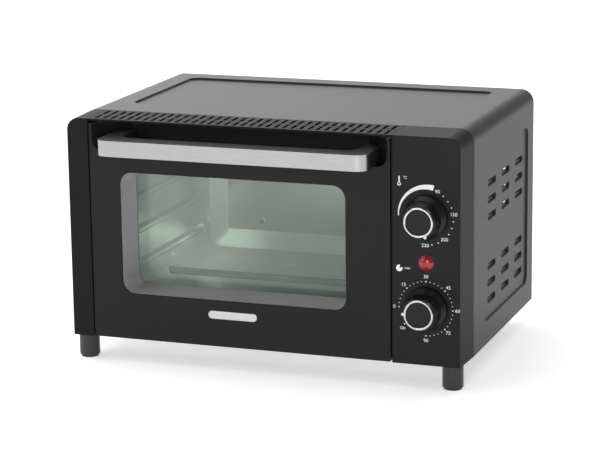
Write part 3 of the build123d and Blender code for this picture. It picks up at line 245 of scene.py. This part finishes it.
def door_glass_finish(tint):
    """Clear tempered glass: mirror gloss over a green tint, with a painted reflection: a faint pale
    film strongest at the left edge.
    """
    material = bpy.data.materials.new("door_glass_finish")
    material.use_nodes = True
    tree = material.node_tree
    tree.nodes.clear()
    clear = add_node(tree, "ShaderNodeBsdfTransparent", inputs={"Color": (*tint, 1)})
    # Painted reflection: a pale diffuse film mixed into the glass, standing for a reflection on the
    # pane
    painted_reflection_map = noise(tree, scale=9.0, stretch=(1, 1, 0.4), detail=2)
    painted_reflection = add_node(tree, "ShaderNodeBsdfDiffuse", inputs={
        "Color": ramp(tree, painted_reflection_map, (0.46, 0.51, 0.47), (0.60, 0.64, 0.60))})
    across = add_node(tree, "ShaderNodeSeparateXYZ", inputs={"Vector": object_place(tree)})
    # Share of the painted reflection: 17 % at the left edge of the pane, none towards the right
    amount = add_node(tree, "ShaderNodeMapRange", inputs={
        "Value": across.outputs["X"], "From Min": -0.13, "From Max": 0.08,
        "To Min": 0.17, "To Max": 0.0})
    body = add_node(tree, "ShaderNodeMixShader", inputs={0: amount.outputs["Result"]})
    tree.links.new(clear.outputs[0], body.inputs[1])
    tree.links.new(painted_reflection.outputs[0], body.inputs[2])
    shine = add_node(tree, "ShaderNodeBsdfGlossy", inputs={
        "Color": (1, 1, 1, 1), "Roughness": 0.02})
    edge = add_node(tree, "ShaderNodeFresnel", inputs={"IOR": 1.45})
    pane = add_node(tree, "ShaderNodeMixShader", inputs={0: edge.outputs[0]})
    tree.links.new(body.outputs[0], pane.inputs[1])
    tree.links.new(shine.outputs[0], pane.inputs[2])
    end = add_node(tree, "ShaderNodeOutputMaterial")
    tree.links.new(pane.outputs[0], end.inputs["Surface"])
    return material


def lens_finish(colour):
    """Moulded red lens with a cloudy, uneven tone."""
    material, tree, shader = empty_material("pilot_lens_finish")
    clouds = noise(tree, scale=160.0)
    tree.links.new(ramp(tree, clouds, tinted(colour, -0.3), colour), shader.inputs["Base Color"])
    shader.inputs["Roughness"].default_value = 0.22
    shader.inputs["Transmission Weight"].default_value = 0.25
    shader.inputs["Coat Weight"].default_value = 0.4
    return material


def give(material, slot):
    """Put a finish on every node of the named slot."""
    used = [name for name in NODES if SLOT_OF[name] == slot]
    if not used:
        raise RuntimeError(f"no node takes its finish from {slot}")
    for name in used:
        data = NODES[name].data
        if not data.materials:
            data.materials.append(material)
        for place in NODES[name].material_slots:
            place.material = material


# ---------------------------------------------------------------- mesh helpers
def facing(x, height, face):
    """Matrix from a drawing in XY, seen from the front, to a place on a front face."""
    place = Matrix.Translation((x, face, BODY_BOTTOM + height))
    return place @ Matrix.Rotation(math.pi / 2, 4, "X")


def piece_from(drawing, name, body, material):
    """Make a finished piece of a bmesh, on its body and with its finish."""
    bmesh.ops.remove_doubles(drawing, verts=drawing.verts, dist=MERGE_GAP)
    bmesh.ops.recalc_face_normals(drawing, faces=drawing.faces)
    data = bpy.data.meshes.new(name)
    drawing.to_mesh(data)
    drawing.free()
    data.materials.append(material)
    made = bpy.data.objects.new(name, data)
    bpy.context.scene.collection.objects.link(made)
    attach(made, body)
    return made


def add_band(drawing, centre, start, end, inner, outer, thickness, steps=48):
    """Flat band round a centre, between two angles in degrees clockwise from the top.

    The inner and outer radii are pairs, at its start and at its end.
    """
    grid = bmesh.ops.create_grid(drawing, x_segments=steps, y_segments=1, size=0.5)["verts"]
    for vert in grid:
        along = vert.co.x + 0.5
        across = vert.co.y + 0.5
        low = inner[0] + (inner[1] - inner[0]) * along
        high = outer[0] + (outer[1] - outer[0]) * along
        radius = low + (high - low) * across
        angle = math.radians(start + (end - start) * along)
        vert.co = (centre[0] + radius * math.sin(angle), centre[1] + radius * math.cos(angle), 0)
    faces = list({face for vert in grid for face in vert.link_faces})
    made = bmesh.ops.extrude_face_region(drawing, geom=faces)["geom"]
    lifted = [part for part in made if isinstance(part, bmesh.types.BMVert)]
    bmesh.ops.translate(drawing, verts=lifted, vec=(0, 0, thickness))


def add_dot(drawing, centre, radius, thickness):
    """Round dot."""
    place = Matrix.Translation((centre[0], centre[1], thickness / 2))
    bmesh.ops.create_cone(
        drawing, cap_ends=True, segments=20, radius1=radius, radius2=radius, depth=thickness,
        matrix=place)


def add_bar(drawing, centre, size, thickness):
    """Rectangular bar."""
    place = Matrix.Translation((centre[0], centre[1], thickness / 2))
    place = place @ Matrix.Diagonal((size[0], size[1], thickness, 1))
    bmesh.ops.create_cube(drawing, size=1.0, matrix=place)


def add_words(drawing, words, centre, size, thickness):
    """Words or figures, centred on a point."""
    curve = bpy.data.curves.new("words", "FONT")
    curve.body = words
    curve.size = size
    curve.align_x = "CENTER"
    curve.align_y = "CENTER"
    curve.extrude = thickness / 2
    curve.resolution_u = 3
    holder = bpy.data.objects.new("words", curve)
    bpy.context.scene.collection.objects.link(holder)
    data = bpy.data.meshes.new_from_object(holder)
    data.transform(Matrix.Translation((centre[0], centre[1], thickness / 2)))
    drawing.from_mesh(data)
    bpy.data.objects.remove(holder)
    bpy.data.meshes.remove(data)
    bpy.data.curves.remove(curve)


def around(radius, angle):
    """Point at a radius and an angle, in degrees clockwise from the top."""
    turn = math.radians(angle)
    return radius * math.sin(turn), radius * math.cos(turn)


def lay_on_panel(drawing, knob):
    """Move a drawing from the origin to the panel round a knob's axis."""
    low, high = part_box(knob)
    x, height = (low.x + high.x) / 2, (low.z + high.z) / 2 - BODY_BOTTOM
    bmesh.ops.transform(drawing, matrix=facing(x, height, PANEL_FACE), verts=drawing.verts)


# ---------------------------------------------------------------- operators
class OVEN_OT_finish_housing(bpy.types.Operator):
    """Give the housing, frame, base and back their paint, plastic and zinc"""
    bl_idname = "oven.finish_housing"
    bl_label = "Finish the housing"

    def execute(self, context):
        colours = context.scene.oven_colours
        give(finish(
            "housing_paint_finish", tuple(colours.housing), 0.34, mottle=0.05,
            grain_scale=1600.0, grain_depth=0.015, spread=0.03, specular=0.09), "housing_paint")
        give(finish(
            "frame_plastic_finish", tuple(colours.plastic), 0.46, mottle=0.06,
            grain_scale=1400.0, grain_depth=0.03, specular=0.05), "bezel_plastic")
        give(finish(
            "back_steel_finish", (0.11, 0.11, 0.112), 0.5, metallic=0.5, mottle=0.08), "back_steel")
        give(spangled(
            "zinc_finish", (0.62, 0.63, 0.64), (0.42, 0.43, 0.45), 0.42), "galvanised_steel")
        give(finish(
            "foot_plastic_finish", (0.016, 0.016, 0.016), 0.42, mottle=0.1,
            grain_scale=1200.0), "foot_plastic")
        give(finish(
            "rubber_finish", (0.012, 0.012, 0.012), 0.8, mottle=0.2, grain_scale=700.0,
            grain_depth=0.1), "black_rubber")
        give(finish(
            "screw_finish", (0.55, 0.55, 0.56), 0.32, metallic=1.0, mottle=0.1,
            grain_scale=2500.0, stretch=(1, 1, 6)), "screw_steel")
        return {"FINISHED"}


class OVEN_OT_finish_controls(bpy.types.Operator):
    """Give the control panel, knobs, lamp and works their finishes"""
    bl_idname = "oven.finish_controls"
    bl_label = "Finish the controls"

    def execute(self, context):
        colours = context.scene.oven_colours
        give(finish(
            "panel_finish", (0.0065, 0.0065, 0.0067), 0.4, mottle=0.05, grain_scale=1800.0,
            grain_depth=0.02, specular=0.2), "panel_plastic")
        give(finish(
            "knob_finish", (0.0055, 0.0055, 0.0058), 0.34, mottle=0.08, grain_scale=1500.0,
            grain_depth=0.02, spread=0.03, coat=0.12, coat_roughness=0.12, specular=0.2),
             "knob_plastic")
        give(finish(
            "knob_cap_finish", (0.012, 0.012, 0.0125), 0.5, mottle=0.05, grain_scale=2200.0,
            stretch=(1, 1, 12), specular=0.2), "cap_plastic")
        give(finish(
            "chrome_finish", (0.52, 0.52, 0.53), 0.1, metallic=1.0, mottle=0.03, spread=0.03,
            grain_depth=0.004), "chrome_trim")
        give(lens_finish(tuple(colours.lamp)), "red_lens")
        give(finish("lamp_body_finish", (0.55, 0.53, 0.48), 0.5, mottle=0.06), "lamp_plastic")
        give(speckled("control_ceramic_finish", (0.66, 0.60, 0.50), (0.35, 0.29, 0.22), 0.55),
             "control_ceramic")
        give(finish(
            "bell_finish", (0.74, 0.74, 0.72), 0.2, metallic=1.0, mottle=0.05,
            stretch=(1, 1, 8)), "bell_steel")
        return {"FINISHED"}


class OVEN_OT_finish_cavity(bpy.types.Operator):
    """Give the cavity, its heating elements and their ends their finishes"""
    bl_idname = "oven.finish_cavity"
    bl_label = "Finish the cavity"

    def execute(self, context):
        give(finish(
            "cavity_finish", (0.66, 0.67, 0.65), 0.33, metallic=0.75, mottle=0.05,
            mottle_scale=30.0, grain_scale=60.0, grain_depth=0, spread=0.02), "cavity_steel")
        give(finish(
            "element_finish", (0.20, 0.21, 0.19), 0.45, metallic=0.8, mottle=0.3,
            mottle_scale=60.0, grain_scale=900.0, stretch=(0.3, 1, 1)), "element_steel")
        give(speckled("bushing_finish", (0.80, 0.76, 0.68), (0.5, 0.45, 0.38), 0.5), "ceramic")
        give(finish(
            "brass_finish", (0.72, 0.52, 0.22), 0.28, metallic=1.0, mottle=0.12), "brass_contact")
        return {"FINISHED"}


class OVEN_OT_finish_door(bpy.types.Operator):
    """Give the door, its glass, reveal, seal and handle their finishes"""
    bl_idname = "oven.finish_door"
    bl_label = "Finish the door"

    def execute(self, context):
        colours = context.scene.oven_colours
        give(finish(
            "door_paint_finish", tuple(colours.door), 0.4, mottle=0.05, grain_scale=1800.0,
            grain_depth=0.02, specular=0.2), "door_paint")
        give(finish(
            "reveal_finish", tuple(colours.reveal), 0.5, metallic=0.2, mottle=0.04), "reveal_steel")
        give(door_glass_finish(tuple(colours.glass)), "window_glass")
        give(finish("seal_finish", (0.20, 0.21, 0.21), 0.55, mottle=0.1), "seal_silicone")
        give(finish(
            "handle_plastic_finish", (0.014, 0.014, 0.0145), 0.38, mottle=0.06,
            grain_scale=1600.0, grain_depth=0.02), "handle_plastic")
        give(finish(
            "brushed_finish", (0.37, 0.37, 0.375), 0.25, metallic=1.0, mottle=0.04,
            mottle_scale=20.0, grain_scale=60.0, grain_depth=0.01, spread=0.08,
            stretch=(1, 60, 60)), "brushed_trim")
        return {"FINISHED"}


class OVEN_OT_print_temperature(bpy.types.Operator):
    """Print the temperature dial: a wedge-shaped arc, dots, degrees and a thermometer"""
    bl_idname = "oven.print_temperature"
    bl_label = "Print the temperature dial"

    def execute(self, context):
        sizes = context.scene.oven_sizes
        thick = sizes.print_thickness
        ring = sizes.dot_ring
        drawing = bmesh.new()
        add_band(
            drawing, (0, 0), *ARC_SPAN, (ring - 0.3 * MM, ring),
            (ring + 0.4 * MM, ring + 4.6 * MM), thick)
        for mark in range(DEGREE_MARKS):
            angle = FIRST_DEGREE_ANGLE + DEGREE_STEP * mark
            if mark in DEGREES_AT:
                place = around(ring + 0.6 * MM, angle)
                add_words(drawing, DEGREES_AT[mark], place, sizes.label_size, thick)
            else:
                add_dot(drawing, around(ring + 0.2 * MM, angle), 0.55 * MM, thick)
        # Thermometer: bulb, stem and degrees
        add_band(
            drawing, (SYMBOL_X * MM, 27.6 * MM), 20, 340, (0.9 * MM, 0.9 * MM),
            (1.6 * MM, 1.6 * MM), thick, 24)
        add_bar(drawing, (SYMBOL_X * MM, 31.6 * MM), (1.1 * MM, 5.6 * MM), thick)
        add_words(drawing, "°C", (-18.4 * MM, 33.2 * MM), 3.4 * MM, thick)
        lay_on_panel(drawing, "temperature_knob")
        piece_from(drawing, "temperature_printing", "body", print_finish())
        return {"FINISHED"}


class OVEN_OT_print_timer(bpy.types.Operator):
    """Print the timer dial: dots, minutes, the mark for on and a clock"""
    bl_idname = "oven.print_timer"
    bl_label = "Print the timer dial"

    def execute(self, context):
        sizes = context.scene.oven_sizes
        thick = sizes.print_thickness
        ring = sizes.dot_ring - 0.2 * MM
        drawing = bmesh.new()
        large_dot, small_dot = 0.62 * MM, 0.42 * MM
        for mark in range(MINUTE_MARKS):
            angle = FIRST_MINUTE_ANGLE + MINUTE_STEP * mark
            labelled = mark % MARKS_PER_LABEL == 0
            add_dot(drawing, around(ring, angle), large_dot if labelled else small_dot, thick)
            if labelled:
                minutes = str(MINUTES_PER_MARK * mark)
                place = around(sizes.label_ring, angle)
                add_words(drawing, minutes, place, sizes.label_size, thick)
        add_dot(drawing, around(ring, ON_DOT_ANGLE), large_dot, thick)
        place = around(sizes.label_ring - 0.4 * MM, ON_WORD_ANGLE)
        add_words(drawing, "On", place, 3.8 * MM, thick)
        # Clock with a slice left out, and its unit
        add_band(
            drawing, (SYMBOL_X * MM, 34.4 * MM), 70, 375, (0, 0), (2.9 * MM, 2.9 * MM), thick, 32)
        add_words(drawing, "min", (-16.4 * MM, 34.8 * MM), 3.4 * MM, thick)
        lay_on_panel(drawing, "timer_knob")
        piece_from(drawing, "timer_printing", "body", print_finish())
        return {"FINISHED"}


class OVEN_OT_add_badge(bpy.types.Operator):
    """Put a plain bright badge on the door under the window"""
    bl_idname = "oven.add_badge"
    bl_label = "Add the badge"

    def execute(self, context):
        sizes = context.scene.oven_sizes
        low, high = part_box("door_reveal")
        middle = (low.x + high.x) / 2
        thick = BADGE_THICKNESS * MM
        drawing = bmesh.new()
        add_bar(drawing, (0, 0), (sizes.badge_width, sizes.badge_height), thick)
        corners = [edge for edge in drawing.edges
                   if abs(edge.verts[0].co.z - edge.verts[1].co.z) > thick / 2]
        bmesh.ops.bevel(
            drawing, geom=corners, offset=sizes.badge_height * 0.49, offset_type="OFFSET",
            segments=10, profile=0.5, affect="EDGES", material=-1)
        rim = [edge for edge in drawing.edges
               if min(vert.co.z for vert in edge.verts) > thick / 2]
        bmesh.ops.bevel(
            drawing, geom=rim, offset=BADGE_RIM * MM, offset_type="OFFSET", segments=2, profile=0.5,
            affect="EDGES", material=-1)
        bmesh.ops.transform(
            drawing, matrix=facing(middle, BADGE_MIDDLE_HEIGHT * MM, DOOR_FACE),
            verts=drawing.verts)
        badge = finish(
            "badge_finish", (0.50, 0.50, 0.51), 0.28, metallic=1.0, mottle=0.04,
            grain_scale=80.0, grain_depth=0.01, stretch=(1, 40, 40))
        piece_from(drawing, "door_badge", "door", badge)
        return {"FINISHED"}


def print_finish():
    """White ink, slightly uneven."""
    return bpy.data.materials.get("ink_finish") or finish(
        "ink_finish", (0.80, 0.80, 0.80), 0.5, mottle=0.05, mottle_scale=200.0)


def studio_world():
    """White surroundings, bright at the left and behind and dim at the right."""
    world = bpy.data.worlds.new("studio")
    world.use_nodes = True
    tree = world.node_tree
    place = add_node(tree, "ShaderNodeTexCoord")
    across = add_node(tree, "ShaderNodeSeparateXYZ", inputs={"Vector": place.outputs["Generated"]})
    level = add_node(tree, "ShaderNodeMapRange", inputs={
        "Value": across.outputs["X"], "From Min": -0.55, "From Max": 0.1,
        "To Min": 1.1, "To Max": 0.3})
    behind = add_node(tree, "ShaderNodeMapRange", inputs={
        "Value": across.outputs["Y"], "From Min": -0.6, "From Max": 0.9,
        "To Min": 0.4, "To Max": 2.1})
    both = add_node(tree, "ShaderNodeMath", {"operation": "MULTIPLY"}, {
        0: level.outputs["Result"], 1: behind.outputs["Result"]})
    tree.nodes["Background"].inputs["Color"].default_value = (1, 1, 1, 1)
    tree.links.new(both.outputs[0], tree.nodes["Background"].inputs["Strength"])
    return world


class OVEN_OT_set_stage(bpy.types.Operator):
    """Lay the floor, light it softly and set the camera"""
    bl_idname = "oven.set_stage"
    bl_label = "Set the stage"

    def execute(self, context):
        scene = context.scene
        ground = bmesh.new()
        bmesh.ops.create_grid(ground, x_segments=2, y_segments=2, size=FLOOR_HALF_WIDTH)
        data = bpy.data.meshes.new("floor")
        ground.to_mesh(data)
        ground.free()
        paper = finish(
            "floor_finish", (0.92, 0.92, 0.92), 0.9, mottle=0.003, mottle_scale=2.0,
            grain_scale=40.0, grain_depth=0.01, spread=0.02, specular=0.1)
        shader = paper.node_tree.nodes["Principled BSDF"]
        shader.inputs["Emission Color"].default_value = (1, 1, 1, 1)
        shader.inputs["Emission Strength"].default_value = FLOOR_GLOW
        data.materials.append(paper)
        floor = bpy.data.objects.new("floor", data)
        scene.collection.objects.link(floor)

        scene.view_settings.view_transform = "Standard"
        scene.world = studio_world()
        sun = bpy.data.lights.new("skylight", "SUN")
        sun.energy = SKYLIGHT_POWER
        sun.angle = math.radians(SKYLIGHT_SPREAD)
        holder = bpy.data.objects.new("skylight", sun)
        holder.rotation_euler = tuple(math.radians(angle) for angle in SKYLIGHT_TURN)
        scene.collection.objects.link(holder)

        for name, place, target, size, power in SOFTBOXES:
            light = bpy.data.lights.new(name, "AREA")
            light.shape = "DISK"
            light.size = size
            light.energy = power
            holder = bpy.data.objects.new(name, light)
            aim = Vector(target) - Vector(place)
            holder.rotation_euler = aim.to_track_quat("-Z", "Y").to_euler()
            holder.location = place
            scene.collection.objects.link(holder)

        camera = bpy.data.cameras.new("camera")
        camera.sensor_width = 36.0
        camera.lens = CAMERA_LENS
        camera.clip_start = 0.05
        camera.clip_end = 50.0
        holder = bpy.data.objects.new("camera", camera)
        holder.matrix_world = (
            Matrix.Translation(CAMERA_PLACE)
            @ Matrix.Rotation(math.radians(CAMERA_TURN), 4, "Z")
            @ Matrix.Rotation(math.radians(90 - CAMERA_TILT), 4, "X")
            @ Matrix.Rotation(math.radians(CAMERA_ROLL), 4, "Z"))
        scene.collection.objects.link(holder)
        scene.camera = holder
        return {"FINISHED"}


OPERATORS = (
    OVEN_OT_finish_housing, OVEN_OT_finish_controls, OVEN_OT_finish_cavity, OVEN_OT_finish_door,
    OVEN_OT_print_temperature, OVEN_OT_print_timer, OVEN_OT_add_badge, OVEN_OT_set_stage)


class OVEN_PT_sidebar(bpy.types.Panel):
    """Sizes, colours and steps of the toaster oven"""
    bl_label = "Toaster Oven"
    bl_idname = "OVEN_PT_sidebar"
    bl_space_type = "VIEW_3D"
    bl_region_type = "UI"
    bl_category = "Oven"

    def draw(self, context):
        for group in (context.scene.oven_sizes, context.scene.oven_colours):
            box = self.layout.box()
            for key in group.bl_rna.properties.keys():
                if key not in ("rna_type", "name"):
                    box.prop(group, key)
        for kind in OPERATORS:
            self.layout.operator(kind.bl_idname)


CLASSES = (OvenSizes, OvenColours, *OPERATORS, OVEN_PT_sidebar)


def register():
    """Register the classes and the settings."""
    for kind in CLASSES:
        bpy.utils.register_class(kind)
    bpy.types.Scene.oven_sizes = bpy.props.PointerProperty(type=OvenSizes)
    bpy.types.Scene.oven_colours = bpy.props.PointerProperty(type=OvenColours)


def unregister():
    """Remove the settings and the classes."""
    del bpy.types.Scene.oven_colours
    del bpy.types.Scene.oven_sizes
    for kind in reversed(CLASSES):
        bpy.utils.unregister_class(kind)


def main():
    """Build the looks in order."""
    register()
    for kind in OPERATORS:
        group, step = kind.bl_idname.split(".")
        getattr(getattr(bpy.ops, group), step)()


if __name__ == "__main__":
    main()
